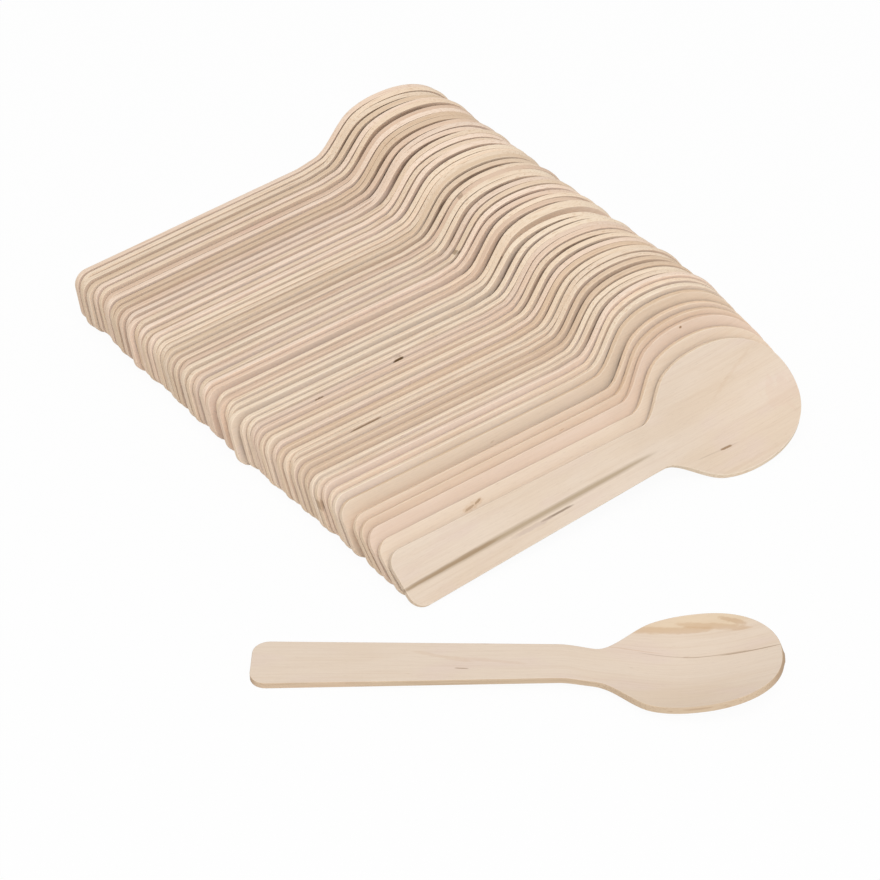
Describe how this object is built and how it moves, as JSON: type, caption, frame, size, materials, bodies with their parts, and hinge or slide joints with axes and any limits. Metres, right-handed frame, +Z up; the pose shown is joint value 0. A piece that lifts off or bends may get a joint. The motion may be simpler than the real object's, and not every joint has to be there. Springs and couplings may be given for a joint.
{
  "type": "wooden cutlery pack",
  "caption": "Nested row of pressed birch spoons standing on edge, leaning back on one another, with a loose spoon lying in front.",
  "frame": {"origin": "on the surface that the pack stands on, under the middle of the whole pack's box", "axes": "+Z up; +Y along the row from its front spoon, whose dish shows, to its far end; the handles' ends point to -X and the bowls to +X"},
  "size_m": [0.192, 0.2662, 0.039],
  "materials": {
    "birch_cream": "bare sanded birch veneer, pale cream",
    "birch_sand": "bare sanded birch veneer, sand",
    "birch_rose": "bare sanded birch veneer, slightly pink"
  },
  "bodies": {
    "root": {"row_spoon_01": "birch_cream", "row_spoon_02": "birch_cream", "row_spoon_03": "birch_rose", "row_spoon_04": "birch_sand", "row_spoon_05": "birch_sand", "row_spoon_06": "birch_cream", "row_spoon_07": "birch_cream", "row_spoon_08": "birch_sand", "row_spoon_09": "birch_rose", "row_spoon_10": "birch_sand", "row_spoon_11": "birch_cream", "row_spoon_12": "birch_sand", "row_spoon_13": "birch_sand", "row_spoon_14": "birch_sand", "row_spoon_15": "birch_sand", "row_spoon_16": "birch_cream", "row_spoon_17": "birch_sand", "row_spoon_18": "birch_rose", "row_spoon_19": "birch_cream", "row_spoon_20": "birch_sand", "row_spoon_21": "birch_rose", "row_spoon_22": "birch_rose", "row_spoon_23": "birch_cream", "row_spoon_24": "birch_cream", "row_spoon_25": "birch_cream", "row_spoon_26": "birch_cream", "row_spoon_27": "birch_cream", "row_spoon_28": "birch_rose", "row_spoon_29": "birch_sand", "row_spoon_30": "birch_rose", "row_spoon_31": "birch_rose", "row_spoon_32": "birch_cream", "row_spoon_33": "birch_rose", "row_spoon_34": "birch_sand", "row_spoon_35": "birch_cream", "row_spoon_36": "birch_rose", "row_spoon_37": "birch_sand", "row_spoon_38": "birch_sand", "row_spoon_39": "birch_cream", "row_spoon_40": "birch_sand", "row_spoon_41": "birch_sand", "row_spoon_42": "birch_cream", "row_spoon_43": "birch_rose", "row_spoon_44": "birch_sand", "row_spoon_45": "birch_rose", "row_spoon_46": "birch_sand", "row_spoon_47": "birch_rose", "row_spoon_48": "birch_rose", "row_spoon_49": "birch_rose", "row_spoon_50": "birch_sand", "row_spoon_51": "birch_sand", "row_spoon_52": "birch_rose", "row_spoon_53": "birch_rose", "row_spoon_54": "birch_sand", "row_spoon_55": "birch_rose", "row_spoon_56": "birch_cream", "row_spoon_57": "birch_sand", "row_spoon_58": "birch_sand", "row_spoon_59": "birch_rose", "loose_spoon": "birch_cream"}
  },
  "joints": []
}
